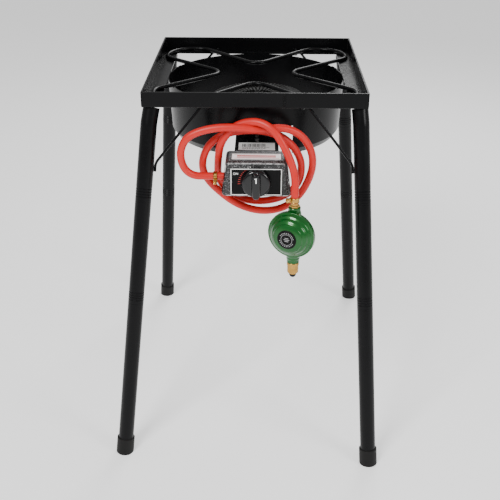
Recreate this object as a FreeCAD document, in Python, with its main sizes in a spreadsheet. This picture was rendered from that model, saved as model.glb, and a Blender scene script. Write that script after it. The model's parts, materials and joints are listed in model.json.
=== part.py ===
"""Propane burner stand for outdoor cooking: square angle-iron frame with a star pot rest, round wind
guard, ring burner, control box with a gas valve, red hose with a low-pressure regulator, and four
splayed legs in three push-together sections.

Frame of reference: millimetres, +Z up, floor at z = 0, origin on the floor under the middle of the
cooking frame, -Y is the side with the control box.
"""
import FreeCAD, Part
import math
import os
import re
import Sketcher
from FreeCAD import Placement, Rotation, Vector

doc = FreeCAD.newDocument("burner_stand")

# ---------------------------------------------------------------- driving dimensions (mm, degrees)
SIZES = {
    # cooking frame and pot rest
    "frame_side": 400,
    "frame_top": 722,
    "rim_tall": 28,
    "flange_wide": 30,
    "angle_thick": 3,
    "angle_round": 2.5,
    "rest_rod": 8,
    "rest_edge_gap": 14,
    "rest_tip_reach": 61,
    "rest_loop_side": 74,
    "rest_tip_round": 26,
    "rest_lobe_round": 30,
    "rest_corner_round": 55,
    # wind guard
    "guard_lap": 2,
    "guard_taper": 5,
    "guard_curl_in": 8,
    "guard_tall": 105,
    "guard_curl_tall": 12,
    "guard_thick": 1.5,
    "notch_wide": 132,
    "notch_tall": 58,
    # ring burner
    "gas_line_offset": 3.5,
    "gas_line_height": 567,
    "burner_top": 655,
    "burner_ring_radius": 82,
    "burner_inner_radius": 47,
    "burner_ring_wide": 17,
    "burner_ring_tall": 22,
    "burner_arm_wide": 20,
    "burner_arm_tall": 12,
    "port_wide": 3,
    "port_deep": 5,
    "port_pitch": 7,
    "venturi_radius": 18,
    "venturi_bore": 13,
    "venturi_mouth_radius": 24,
    "venturi_reach": 138,
    "mouth_long": 14,
    "boss_setback": 43,
    "bracket_bolt_spread": 10,
    "neck_radius": 20,
    "support_wide": 25,
    "support_thick": 4,
    "support_spacing": 100,
    "support_tab": 22,
    "burner_bolt_radius": 3,
    # bracket between the burner and the control box
    "bracket_wide": 82,
    "bracket_top": 600,
    "bracket_deep": 28,
    "bracket_thick": 2.5,
    "bracket_back": 62,
    "bracket_bolt_radius": 2.5,
    "tie_spread": 26.65,
    "tie_drop": 12,
    # control box
    "box_back": 175,
    "box_deep": 55,
    "box_top": 605,
    "box_tall": 68,
    "box_top_wide": 110,
    "box_low_wide": 127,
    "box_wall": 2,
    "box_round": 7,
    "cover_thick": 2,
    "cover_fit": 0.3,
    "dial_wide": 93,
    "dial_tall": 52,
    "dial_thick": 1,
    "label_thick": 0.4,
    "label_wide": 88,
    "label_deep": 26,
    "sticker_wide": 68,
    "sticker_deep": 38,
    "sticker_setback": 139,
    # valve, spindle and knob
    "valve_wide": 32,
    "valve_deep": 26,
    "valve_tall": 28,
    "valve_setback": 16,
    "spindle_radius": 3,
    "spindle_insert": 12,
    "valve_nose": 8,
    "washer_radius": 6,
    "spring_radius": 4.6,
    "spring_wire": 0.9,
    "spring_coils": 5.5,
    "running_fit": 0.05,
    "knob_radius": 26,
    "knob_deep": 22,
    "knob_skirt": 7,
    "knob_grip_wide": 13,
    "knob_push": 3,
    "knob_bore_deep": 14,
    "knob_recess": 3.4,
    "knob_gap": 1.2,
    "inlet_rise": 1,
    "tail_radius": 5.5,
    # hose and regulator
    "hose_diameter": 14,
    "clamp_wide": 8,
    "clamp_thick": 1.2,
    "clamp_setback": 17,
    "regulator_height": 478,
    "regulator_radius": 44.5,
    "regulator_flange": 6,
    "regulator_front": 27,
    "regulator_rear": 24,
    "regulator_turn": 23,
    "badge_radius": 18,
    "stem_radius": 11,
    "neck_setback": 12,
    "shell_gap": 1,
    "neck_top": 50,
    "neck_low": 62,
    "nut_radius": 10.5,
    "nut_tall": 22,
    "nut_recess": 7.5,
    # legs
    "tube_diameter": 30,
    "tube_wall": 1.5,
    "spigot_long": 45,
    "spigot_fit": 0.08,
    "seam_gap": 0.3,
    "knee_inset_x": 9,
    "knee_inset_y": 10,
    "knee_height": 650,
    "splay_front_left": 131.4,
    "splay_front_right": 143,
    "splay_back_left": 143,
    "splay_back_right": 143,
    "stub_long": 40,
    "stub_shift": 4.2,
    "knee_round": 60,
    "upper_seam": 522,
    "lower_seam": 322,
    "ring_first": 8,
    "ring_pitch": 5,
    "ring_deep": 0.7,
    "cap_diameter": 35,
    "cap_tall": 32,
    "cap_sole": 7,
    "azimuth_front_left": 58.06,
    "azimuth_front_right": 73,
    "azimuth_back_left": 70,
    "azimuth_back_right": 65,
    # stays
    "stay_diameter": 5,
    "stay_gap": 28,
    "stay_height": 592,
    "stay_foot": 16,
    "stay_tab_wide": 11,
    "stay_tab_thick": 2.5,
    "stay_bolt_radius": 2.5,
}

sheet = doc.addObject("Spreadsheet::Sheet", "sizes")
for row, (alias, value) in enumerate(SIZES.items(), start=1):
    sheet.set("A%d" % row, str(value))
    sheet.setAlias("A%d" % row, alias)
doc.recompute()

nodes = []


def size(alias):
    """A driving dimension, read from the sheet."""
    return float(sheet.get(alias))


def bound(text):
    """An expression in the sheet's names, written for an object outside the sheet."""
    return re.sub(r"[a-z_]+", lambda word: "sizes." + word[0] if word[0] in SIZES else word[0], text)


def bind(thing, path, text):
    thing.setExpression(path, bound(str(text)))


def number(text):
    """The present value of such an expression."""
    return float(sheet.evalExpression(str(text)))


# ---------------------------------------------------------------- building blocks
def new_body(label):
    body = doc.addObject("PartDesign::Body", label)
    body.Label = label
    nodes.append(body)
    return body


def new_sketch(body, role):
    """A sketch on one of the body's own origin planes; XZ_Plane draws x to the right and z up."""
    sketch = body.newObject("Sketcher::SketchObject", body.Name + "_sketch")
    plane = [item for item in body.Origin.OriginFeatures if item.Role == role][0]
    sketch.AttachmentSupport = [(plane, "")]
    sketch.MapMode = "FlatFace"
    return sketch


def fix_point(sketch, edge, end, point):
    """Hold one end of an edge at a point given by two expressions."""
    for kind, text in zip(("DistanceX", "DistanceY"), point):
        index = sketch.addConstraint(Sketcher.Constraint(kind, -1, 1, edge, end, number(text)))
        bind(sketch, "Constraints[%d]" % index, text)


def outline(sketch, points, closed=True):
    """Straight edges through points, each held by its own expressions."""
    places = [Vector(number(x), number(y), 0) for x, y in points]
    first = sketch.GeometryCount
    count = len(points) if closed else len(points) - 1
    for index in range(count):
        sketch.addGeometry(Part.LineSegment(places[index], places[(index + 1) % len(points)]))
    for index in range(count if closed else count - 1):
        after = first + (index + 1) % count
        sketch.addConstraint(Sketcher.Constraint("Coincident", first + index, 2, after, 1))
    for index in range(count):
        fix_point(sketch, first + index, 1, points[index])
    if not closed:
        fix_point(sketch, first + count - 1, 2, points[-1])
    return sketch


def circle(sketch, point, radius):
    """A circle whose centre and radius are expressions."""
    centre = Vector(number(point[0]), number(point[1]), 0)
    edge = sketch.addGeometry(Part.Circle(centre, Vector(0, 0, 1), number(radius)))
    fix_point(sketch, edge, 3, point)
    index = sketch.addConstraint(Sketcher.Constraint("Radius", edge, number(radius)))
    bind(sketch, "Constraints[%d]" % index, radius)
    return sketch


def round_corner(sketch, edge, radius):
    """Round the corner at the end of an edge, with an arc whose radius is an expression."""
    before = sketch.GeometryCount
    sketch.fillet(edge, 2, number(radius), True, True)
    for index in range(before, sketch.GeometryCount):
        if "Arc" in sketch.Geometry[index].TypeId:
            fixed = sketch.addConstraint(Sketcher.Constraint("Radius", index, number(radius)))
            bind(sketch, "Constraints[%d]" % fixed, radius)


def rectangle(wide, tall, middle=("0", "0")):
    """Corners of an upright rectangle about its middle."""
    left, right = "%s - (%s) / 2" % (middle[0], wide), "%s + (%s) / 2" % (middle[0], wide)
    low, high = "%s - (%s) / 2" % (middle[1], tall), "%s + (%s) / 2" % (middle[1], tall)
    return [(left, low), (right, low), (right, high), (left, high)]


def pad(body, sketch, length, reverse=False, middle=False):
    feature = body.newObject("PartDesign::Pad", body.Name + "_pad")
    feature.Profile = sketch
    feature.Reversed = reverse
    feature.Midplane = middle
    feature.Length = number(length)
    bind(feature, "Length", length)
    body.Tip = feature
    return feature


def pocket(body, sketch, length=None, reverse=False):
    """Cut a sketch into the body: to a length, or through everything both ways."""
    feature = body.newObject("PartDesign::Pocket", body.Name + "_pocket")
    feature.Profile = sketch
    feature.Reversed = reverse
    if length is None:
        feature.Type = "Length"
        feature.SideType = "Symmetric"
        feature.Length = 2000
    else:
        feature.Length = number(length)
        bind(feature, "Length", length)
    body.Tip = feature
    return feature


def revolve(body, sketch):
    feature = body.newObject("PartDesign::Revolution", body.Name + "_turn")
    feature.Profile = sketch
    feature.ReferenceAxis = (sketch, ["V_Axis"])
    feature.Angle = 360
    body.Tip = feature
    return feature


def turned(label, points):
    """A piece turned about its own Z, from an outline of (radius, height)."""
    body = new_body(label)
    revolve(body, outline(new_sketch(body, "XZ_Plane"), points))
    return body


def polar(body, feature, count):
    """Repeat a feature about the body's Z."""
    doc.recompute()
    pattern = body.newObject("PartDesign::PolarPattern", body.Name + "_pattern")
    pattern.Originals = [feature]
    pattern.Axis = (feature.Profile[0], ["N_Axis"])
    pattern.Angle = 360
    pattern.Occurrences = count
    body.Tip = pattern
    return pattern


def fillet_edges(body, radius, chosen):
    """Round the edges of the body's present shape that a test picks by their two ends."""
    doc.recompute()
    base = body.Tip
    names = []
    for index, edge in enumerate(base.Shape.Edges, start=1):
        ends = [vertex.Point for vertex in edge.Vertexes]
        if chosen(edge, ends):
            names.append("Edge%d" % index)
    feature = body.newObject("PartDesign::Fillet", body.Name + "_round")
    feature.Base = (base, names)
    feature.Radius = number(radius)
    bind(feature, "Radius", radius)
    body.Tip = feature
    return feature


def put(thing, position, rotation=Rotation()):
    thing.Placement = Placement(Vector(*position), rotation)
    return thing


def shape_node(label, shape, position=(0, 0, 0), rotation=Rotation()):
    """A node whose shape comes from Part's own functions."""
    feature = doc.addObject("Part::Feature", label)
    feature.Label = label
    feature.Shape = shape
    feature.Placement = Placement(Vector(*position), rotation)
    nodes.append(feature)
    return feature


def group_node(label, body, places):
    """Identical fasteners: copies of one turned body at several placements, as one node."""
    doc.recompute()
    pattern = body.Shape.copy()
    pattern.Placement = Placement()
    copies = []
    for place in places:
        copy = pattern.copy()
        copy.Placement = place
        copies.append(copy)
    nodes.remove(body)
    return shape_node(label, Part.makeCompound(copies))


# turned pieces stand along Z; these lay them along the other directions
FORWARD = Rotation(Vector(0, 0, 1), Vector(0, -1, 0))
LEFTWARD = Rotation(Vector(0, 0, 1), Vector(-1, 0, 0))
DOWNWARD = Rotation(Vector(0, 0, 1), Vector(0, 0, -1))


# ---------------------------------------------------------------- cooking frame
# how far from the middle of a side the rest's corner loops begin, and the stays' bolts inside them
LOBE_REACH = "(frame_side / 2 - rest_edge_gap - rest_loop_side)"
STAY_REACH = "(frame_side / 2 - rest_edge_gap - rest_loop_side - stay_gap)"


def add_rail(label, angle, bolted):
    """A length of angle iron with mitred ends: the flange lies inward at the bottom of the rim."""
    body = new_body(label)
    edge = "frame_side / 2"
    inner = "(frame_side / 2 - flange_wide)"
    flange = [("-" + edge, "-" + edge), (edge, "-" + edge), (inner, "-" + inner), ("-" + inner, "-" + inner)]
    pad(body, outline(new_sketch(body, "XY_Plane"), flange), "angle_thick")
    face = "(frame_side / 2 - angle_thick)"
    rim = [("-" + edge, "-" + edge), (edge, "-" + edge), (face, "-" + face), ("-" + face, "-" + face)]
    pad(body, outline(new_sketch(body, "XY_Plane"), rim), "rim_tall")
    half = size("frame_side") / 2

    def outer_low(rail_edge, ends):
        return all(abs(end.y + half) < 0.01 and abs(end.z) < 0.01 for end in ends)

    fillet_edges(body, "angle_round", outer_low)
    if bolted:
        holes = new_sketch(body, "XY_Plane")
        for side in ("-", ""):
            circle(holes, (side + STAY_REACH, "-(frame_side - flange_wide) / 2"), "stay_bolt_radius + 0.2")
        pocket(body, holes)
    put(body, (0, 0, size("frame_top") - size("rim_tall")), Rotation(Vector(0, 0, 1), angle))


def add_frame():
    add_rail("front_rail", 0, True)
    add_rail("right_rail", 90, False)
    add_rail("rear_rail", 180, True)
    add_rail("left_rail", 270, False)


def add_pot_rest():
    """One closed star of round bar: four tips point at the middle, four corner loops lie on the flange."""
    body = new_body("pot_rest")
    path = new_sketch(body, "XY_Plane")
    edge = "(frame_side / 2 - rest_edge_gap)"
    quarter = [("rest_tip_reach", "0"), (edge, LOBE_REACH), (edge, edge), (LOBE_REACH, edge)]
    points = []
    for x, y in quarter:
        points.append((x, y))
    for x, y in quarter:
        points.append(("-(%s)" % y, x))
    for x, y in quarter:
        points.append(("-(%s)" % x, "-(%s)" % y))
    for x, y in quarter:
        points.append((y, "-(%s)" % x))
    outline(path, points)
    rounds = ["rest_lobe_round", "rest_corner_round", "rest_lobe_round", "rest_tip_round"]
    for index in range(len(points)):
        round_corner(path, index, rounds[index % 4])
    # the bar's section stands at the tip on +X, where the bend crosses the axis square to it
    leg = "sqrt(%s^2 + (%s - rest_tip_reach)^2)" % (LOBE_REACH, edge)
    section = new_sketch(body, "XZ_Plane")
    apex = "rest_tip_reach + rest_tip_round * (%s / %s - 1)" % (leg, LOBE_REACH)
    circle(section, (apex, "0"), "rest_rod / 2")
    pipe = body.newObject("PartDesign::AdditivePipe", "pot_rest_bar")
    pipe.Profile = section
    pipe.Spine = path
    body.Tip = pipe
    put(body, (0, 0, size("frame_top") - size("rim_tall") + size("angle_thick") + size("rest_rod") / 2))


# the guard's radii at its top, above its curl and at its lower edge: the top laps under the flanges
GUARD_TOP = "(frame_side / 2 - flange_wide + guard_lap)"
GUARD_LOW = "(frame_side / 2 - flange_wide + guard_lap - guard_taper)"
GUARD_CURL = "(frame_side / 2 - flange_wide + guard_lap - guard_taper - guard_curl_in)"


def add_wind_guard():
    """A tapered band of sheet with its lower edge curled in and a notch at the front for the bracket."""
    body = new_body("wind_guard")
    skin = "guard_thick"
    points = [
        (GUARD_TOP, "0"),
        (GUARD_LOW, "guard_curl_tall - guard_tall"),
        (GUARD_CURL, "-guard_tall"),
        (GUARD_CURL + " - 6", "-guard_tall"),
        (GUARD_CURL + " - 6", skin + " - guard_tall"),
        (GUARD_CURL + " - 0.8", skin + " - guard_tall"),
        (GUARD_LOW + " - " + skin, "guard_curl_tall - guard_tall + 0.6"),
        (GUARD_TOP + " - " + skin, "0"),
    ]
    revolve(body, outline(new_sketch(body, "XZ_Plane"), points))
    notch = new_sketch(body, "XZ_Plane")
    notch_centre = ("gas_line_offset", "(notch_tall - 10) / 2 - guard_tall")
    outline(notch, rectangle("notch_wide", "notch_tall + 10", notch_centre))
    pocket(body, notch, GUARD_TOP + " + 20", reverse=True)
    put(body, (0, 0, size("frame_top") - size("rim_tall")))


# ---------------------------------------------------------------- burner
def add_burner():
    """Cast ring burner: two rings with gas ports, four arms, a neck and the venturi tube to the front."""
    body = new_body("burner_casting")
    ring_bottom = "burner_top - gas_line_height - burner_ring_tall"
    top = "burner_top - gas_line_height"
    for radius in ("burner_ring_radius", "burner_inner_radius"):
        ring_centre = (radius, "%s - burner_ring_tall / 2" % top)
        section = rectangle("burner_ring_wide", "burner_ring_tall", ring_centre)
        revolve(body, outline(new_sketch(body, "XZ_Plane"), section))
        if radius == "burner_ring_radius":
            arms = new_sketch(body, "XY_Plane")
            arms.AttachmentOffset = Placement(Vector(0, 0, number(ring_bottom)), Rotation())
            bind(arms, ".AttachmentOffset.Base.z", ring_bottom)
            long_arm, short_arm = "2 * burner_ring_radius", "burner_arm_wide"
            outline(arms, rectangle(long_arm, short_arm))
            pad(body, arms, "burner_arm_tall")
            arms = new_sketch(body, "XY_Plane")
            arms.AttachmentOffset = Placement(Vector(0, 0, number(ring_bottom)), Rotation())
            bind(arms, ".AttachmentOffset.Base.z", ring_bottom)
            outline(arms, rectangle(short_arm, long_arm))
            pad(body, arms, "burner_arm_tall")
    neck = new_sketch(body, "XY_Plane")
    circle(neck, ("0", "0"), "neck_radius")
    pad(body, neck, ring_bottom + " + burner_arm_tall")
    tube = new_sketch(body, "XZ_Plane")
    circle(tube, ("0", "0"), "venturi_radius")
    pad(body, tube, "venturi_reach - mouth_long")
    mouth = new_sketch(body, "XZ_Plane")
    mouth.AttachmentOffset = Placement(Vector(0, 0, number("venturi_reach - mouth_long")), Rotation())
    bind(mouth, ".AttachmentOffset.Base.z", "venturi_reach - mouth_long")
    circle(mouth, ("0", "0"), "venturi_mouth_radius")
    pad(body, mouth, "mouth_long")
    ball = new_sketch(body, "XY_Plane")
    circle(ball, ("0", "0"), "neck_radius")
    pad(body, ball, "venturi_radius + 2", reverse=True)
    boss = new_sketch(body, "XY_Plane")
    outline(boss, rectangle("24", "36", ("0", "-venturi_reach + boss_setback")))
    pad(body, boss, "bracket_top - bracket_thick - gas_line_height")
    bore = new_sketch(body, "XZ_Plane")
    circle(bore, ("0", "0"), "venturi_bore")
    pocket(body, bore, "venturi_reach + 5", reverse=True)
    throat = new_sketch(body, "XY_Plane")
    circle(throat, ("0", "0"), "venturi_bore")
    pocket(body, throat, ring_bottom + " + burner_arm_tall - 4", reverse=True)
    # tapped holes: two for the bracket, four for the support bars
    holes = new_sketch(body, "XY_Plane")
    holes.AttachmentOffset = Placement(Vector(0, 0, number("venturi_radius")), Rotation())
    bind(holes, ".AttachmentOffset.Base.z", "venturi_radius")
    for sign in ("-", "+"):
        place = "-venturi_reach + boss_setback %s bracket_bolt_spread" % sign
        circle(holes, ("0", place), "bracket_bolt_radius")
    pocket(body, holes, "40", reverse=True)
    bolts = new_sketch(body, "XY_Plane")
    bolts.AttachmentOffset = Placement(Vector(0, 0, number(ring_bottom)), Rotation())
    bind(bolts, ".AttachmentOffset.Base.z", ring_bottom)
    bolt_x = "sqrt(burner_ring_radius * burner_ring_radius - support_spacing * support_spacing / 4)"
    for x in ("-", ""):
        for y in ("-", ""):
            circle(bolts, (x + bolt_x, y + "support_spacing / 2"), "burner_bolt_radius")
    pocket(body, bolts, "10", reverse=True)
    # gas ports: radial slots across the top of both rings
    for radius in ("burner_ring_radius", "burner_inner_radius"):
        slot = new_sketch(body, "XY_Plane")
        slot.AttachmentOffset = Placement(Vector(0, 0, number(top)), Rotation())
        bind(slot, ".AttachmentOffset.Base.z", top)
        outline(slot, rectangle("burner_ring_wide + 2", "port_wide", (radius, "0")))
        cut = pocket(body, slot, "port_deep")
        polar(body, cut, int(2 * math.pi * size(radius) / size("port_pitch")))
    put(body, (size("gas_line_offset"), 0, size("gas_line_height")))


def burner_bolt_places():
    """Where the four burner bolts stand, as x and y from the burner's own centre."""
    across = size("support_spacing") / 2
    along = math.sqrt(size("burner_ring_radius") ** 2 - across ** 2)
    return [(x * along, y * across) for x in (-1, 1) for y in (-1, 1)]


def add_burner_supports():
    """Two flat bars under the burner, their ends turned up against the wind guard."""
    top = size("burner_top") - size("burner_ring_tall")
    for label, side in (("front_support_bar", -1), ("rear_support_bar", 1)):
        body = new_body(label)
        bar_edge = "(support_spacing / 2 + support_wide / 2)"
        reach_outer = "sqrt((" + GUARD_LOW + " - guard_thick - 0.5)^2 - " + bar_edge + "^2)"
        left, right = "-(%s) - gas_line_offset" % reach_outer, "%s - gas_line_offset" % reach_outer
        thick = "support_thick"
        points = [
            (left, "-" + thick),
            (right, "-" + thick),
            (right, "support_tab"),
            (right + " - " + thick, "support_tab"),
            (right + " - " + thick, "0"),
            (left + " + " + thick, "0"),
            (left + " + " + thick, "support_tab"),
            (left, "support_tab"),
        ]
        pad(body, outline(new_sketch(body, "XZ_Plane"), points), "support_wide", middle=True)
        holes = new_sketch(body, "XY_Plane")
        bolt_x = "sqrt(burner_ring_radius * burner_ring_radius - support_spacing * support_spacing / 4)"
        for sign in ("-", ""):
            circle(holes, (sign + bolt_x, "0"), "burner_bolt_radius + 0.3")
        pocket(body, holes)
        put(body, (size("gas_line_offset"), side * size("support_spacing") / 2, top))
    bolt = turned("burner_bolt", bolt_outline("burner_bolt_radius", "support_thick + 8", 4))
    low = top - size("support_thick")
    places = []
    for x, y in burner_bolt_places():
        places.append(Placement(Vector(size("gas_line_offset") + x, y, low), Rotation()))
    group_node("burner_bolts", bolt, places)


def bolt_outline(radius, length, head_tall):
    """Outline of a bolt whose shank rises from z = 0 and whose head hangs below."""
    head = "1.7 * " + radius
    return [
        ("0", "-%s" % head_tall),
        (head, "-%s" % head_tall),
        (head, "0"),
        (radius, "0"),
        (radius, length),
        ("0", length),
    ]


def add_air_shutter():
    """Slotted disc that turns on the jet in front of the venturi mouth, and the jet itself."""
    body = new_body("air_shutter")
    disc = circle(new_sketch(body, "XY_Plane"), ("0", "0"), "venturi_mouth_radius - 1")
    pad(body, disc, "1.5")
    hole = circle(new_sketch(body, "XY_Plane"), ("0", "0"), "tail_radius + running_fit")
    pocket(body, hole)
    window = circle(new_sketch(body, "XY_Plane"), ("(venturi_mouth_radius + tail_radius) / 2", "0"), "5.5")
    polar(body, pocket(body, window), 4)
    lift = outline(new_sketch(body, "XY_Plane"), rectangle("6", "7", ("0", "venturi_mouth_radius + 1")))
    pad(body, lift, "1.5")
    x, z = size("gas_line_offset"), size("gas_line_height")
    put(body, (x, -size("venturi_reach") - size("seam_gap"), z), FORWARD)
    back = "(box_back - cover_thick - venturi_reach)"
    jet = turned("gas_jet", [
        ("0", "-8"),
        ("2", "-8"),
        ("tail_radius - 1.5", "-4"),
        ("tail_radius", "-4"),
        ("tail_radius", "12"),
        ("tail_radius + 2", "12"),
        ("tail_radius + 2", "22"),
        ("tail_radius", "22"),
        ("tail_radius", back),
        ("0", back),
    ])
    put(jet, (x, -size("venturi_reach"), z), FORWARD)


# ---------------------------------------------------------------- bracket and control box
def add_bracket():
    """Inverted channel from the venturi to the back of the control box, with a turned-down front."""
    body = new_body("valve_bracket")
    half, thick = "bracket_wide / 2", "bracket_thick"
    points = [
        ("-" + half, "-bracket_deep"),
        ("-%s + %s" % (half, thick), "-bracket_deep"),
        ("-%s + %s" % (half, thick), "-" + thick),
        ("%s - %s" % (half, thick), "-" + thick),
        ("%s - %s" % (half, thick), "-bracket_deep"),
        (half, "-bracket_deep"),
        (half, "0"),
        ("-" + half, "0"),
    ]
    pad(body, outline(new_sketch(body, "XZ_Plane"), points), "box_back - bracket_back")
    tab = new_sketch(body, "XZ_Plane")
    front = "box_back - bracket_back - bracket_thick"
    tab.AttachmentOffset = Placement(Vector(0, 0, number(front)), Rotation())
    bind(tab, ".AttachmentOffset.Base.z", front)
    outline(tab, rectangle("bracket_wide - 1", "bracket_deep - 5", ("0", "-(bracket_deep - 5) / 2")))
    pad(body, tab, thick)
    holes = new_sketch(body, "XY_Plane")
    for sign in ("-", "+"):
        place = "-venturi_reach + boss_setback + bracket_back %s bracket_bolt_spread" % sign
        circle(holes, ("0", place), "bracket_bolt_radius + 0.3")
    pocket(body, holes, "bracket_thick * 2")
    ties = new_sketch(body, "XZ_Plane")
    for sign in ("-", ""):
        circle(ties, (sign + "tie_spread", "-tie_drop"), "bracket_bolt_radius + 0.3")
    pocket(body, ties, "box_back", reverse=True)
    x, z = size("gas_line_offset"), size("bracket_top")
    put(body, (x, -size("bracket_back"), z))
    label = new_body("bracket_label")
    face = outline(new_sketch(label, "XY_Plane"), rectangle("sticker_wide", "sticker_deep"))
    pad(label, face, "label_thick")
    put(label, (x, -size("sticker_setback"), z))
    screw = turned("bracket_screw", bolt_outline("bracket_bolt_radius", "bracket_thick + 12", 3))
    places = []
    for shift in (-size("bracket_bolt_spread"), size("bracket_bolt_spread")):
        y = -size("venturi_reach") + size("boss_setback") + shift
        places.append(Placement(Vector(x, y, z), DOWNWARD))
    for sign in (-1, 1):
        behind = -size("box_back") + size("bracket_thick")
        rear = Vector(x + sign * size("tie_spread"), behind, z - size("tie_drop"))
        places.append(Placement(rear, FORWARD))
    group_node("bracket_screws", screw, places)


def box_outline(shrink):
    """The control box seen from the front, wider at the bottom, drawn inside its outer face."""
    top, low = "box_top_wide / 2 - %s" % shrink, "box_low_wide / 2 - %s" % shrink
    return [
        ("-(%s)" % low, "-box_tall + %s" % shrink),
        (low, "-box_tall + %s" % shrink),
        (top, "-(%s)" % shrink),
        ("-(%s)" % top, "-(%s)" % shrink),
    ]


def rounded_box_outline(body, shrink, radius="box_round - box_wall"):
    """A sketch of that outline with its four corners rounded."""
    sketch = outline(new_sketch(body, "XZ_Plane"), box_outline(shrink))
    for corner in range(4):
        round_corner(sketch, corner, radius)
    return sketch


def add_control_box():
    """Flared housing open at the back, its back cover, dial plate, label and screws."""
    body = new_body("control_housing")
    pad(body, outline(new_sketch(body, "XZ_Plane"), box_outline("0")), "box_deep")
    deep = size("box_deep")

    def long_or_front(edge, ends):
        return abs(ends[0].y - ends[1].y) > 1 or all(abs(end.y + deep) < 0.01 for end in ends)

    fillet_edges(body, "box_round", long_or_front)
    cavity = rounded_box_outline(body, "box_wall + 1.5")
    pocket(body, cavity, "box_deep - box_wall", reverse=True)
    pocket(body, rounded_box_outline(body, "box_wall"), "cover_thick", reverse=True)
    drop = "gas_line_height - box_top"
    front = circle(new_sketch(body, "XZ_Plane"), ("0", drop), "spindle_radius + 6.5")
    pocket(body, front, "box_deep + 5", reverse=True)
    side = new_sketch(body, "YZ_Plane")
    circle(side, ("box_back + (%s)" % HOSE_ROUTE[0][1], drop + " + inlet_rise"), "hose_diameter / 2 + 1")
    pocket(body, side, "box_low_wide")
    x, top = size("gas_line_offset"), size("box_top")
    back = -size("box_back")
    put(body, (x, back, top))
    cover = new_body("housing_back_cover")
    pad(cover, rounded_box_outline(cover, "box_wall + cover_fit", "box_round"), "cover_thick")
    outlet = circle(new_sketch(cover, "XZ_Plane"), ("0", drop), "tail_radius + 0.3")
    pocket(cover, outlet)
    ties = new_sketch(cover, "XZ_Plane")
    for sign in ("-", ""):
        circle(ties, (sign + "tie_spread", "bracket_top - box_top - tie_drop"), "bracket_bolt_radius + 0.2")
    pocket(cover, ties)
    put(cover, (x, back, top))
    dial = new_body("dial_plate")
    plate = outline(new_sketch(dial, "XZ_Plane"), rectangle("dial_wide", "dial_tall"))
    pad(dial, plate, "dial_thick")
    pocket(dial, circle(new_sketch(dial, "XZ_Plane"), ("0", "0"), "spindle_radius + 6.5"))
    put(dial, (x, back - deep, size("gas_line_height")))
    label = new_body("housing_label")
    pad(label, outline(new_sketch(label, "XY_Plane"), rectangle("label_wide", "label_deep")), "label_thick")
    put(label, (x, back - deep / 2 - 1, top))


def add_valve():
    """Brass gas valve in the box, its spindle, return spring, washer, hose tail and the knob."""
    x, z = size("gas_line_offset"), size("gas_line_height")
    front = -size("box_back") - size("box_deep")
    body = new_body("gas_valve")
    block = outline(new_sketch(body, "XZ_Plane"), rectangle("valve_wide", "valve_tall"))
    pad(body, block, "valve_deep")
    boss = circle(new_sketch(body, "XZ_Plane"), ("0", "0"), "spindle_radius + 6")
    nose = "valve_deep + valve_nose"
    pad(body, boss, nose)
    outlet = circle(new_sketch(body, "XZ_Plane"), ("0", "0"), "tail_radius")
    pad(body, outlet, "box_deep - valve_setback - valve_deep - cover_thick + 2", reverse=True)
    bore = circle(new_sketch(body, "XZ_Plane"), ("0", "0"), "spindle_radius + running_fit")
    pocket(body, bore, nose, reverse=True)
    rear = front + size("valve_setback") + size("valve_deep")
    put(body, (x, rear, z))
    # spindle: its inner end leaves room for the push, its outer end carries the knob
    valve_face = rear - size("valve_deep") - size("valve_nose")
    knob_back = front - size("dial_thick") - size("knob_push") - size("knob_gap")
    spindle_start = rear - size("valve_deep") + size("spindle_insert")
    reach = spindle_start - knob_back + size("knob_bore_deep")
    spindle = shape_node("valve_spindle", turned_shaft(size("spindle_radius"), reach))
    put(spindle, (x, spindle_start, z), FORWARD)
    # washer and spring between the valve's nose and the knob
    washer_at = knob_back + 2.5
    ring = Part.makeCylinder(size("washer_radius"), 1)
    ring = ring.cut(Part.makeCylinder(size("spindle_radius") + size("running_fit"), 1))
    shape_node("spring_washer", ring, (x, washer_at, z), FORWARD)
    room = valve_face - washer_at - 0.6
    coil = size("spring_radius")
    helix = Part.makeHelix(room / size("spring_coils"), room * 0.92, coil)
    section = Part.Wire(Part.makeCircle(size("spring_wire") / 2, Vector(coil, 0, 0), Vector(0, 1, 0)))
    spring = Part.Wire(helix).makePipeShell([section], True, True)
    shape_node("knob_spring", spring, (x, valve_face - 0.8, z), FORWARD)
    # brass tail that takes the hose through the left wall
    tail_from = x - size("valve_wide") / 2
    tail_to = HOSE_ROUTE[0][0]
    long_tail = tail_from - tail_to
    tail = turned("inlet_hose_tail", [
        ("0", "0"),
        ("tail_radius", "0"),
        ("tail_radius", str(long_tail - 3)),
        ("hose_diameter / 2", str(long_tail - 3)),
        ("hose_diameter / 2", str(long_tail)),
        ("0", str(long_tail)),
    ])
    put(tail, (tail_from, HOSE_ROUTE[0][1], HOSE_ROUTE[0][2]), LEFTWARD)
    add_knob(x, knob_back, z)


def turned_shaft(radius, length):
    """A plain shaft with a small chamfer at its far end."""
    shaft = Part.makeCylinder(radius, length)
    return shaft.makeChamfer(0.6, [edge for edge in shaft.Edges if abs(edge.BoundBox.ZMin - length) < 0.01
                                   and abs(edge.BoundBox.ZMax - length) < 0.01])


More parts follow.
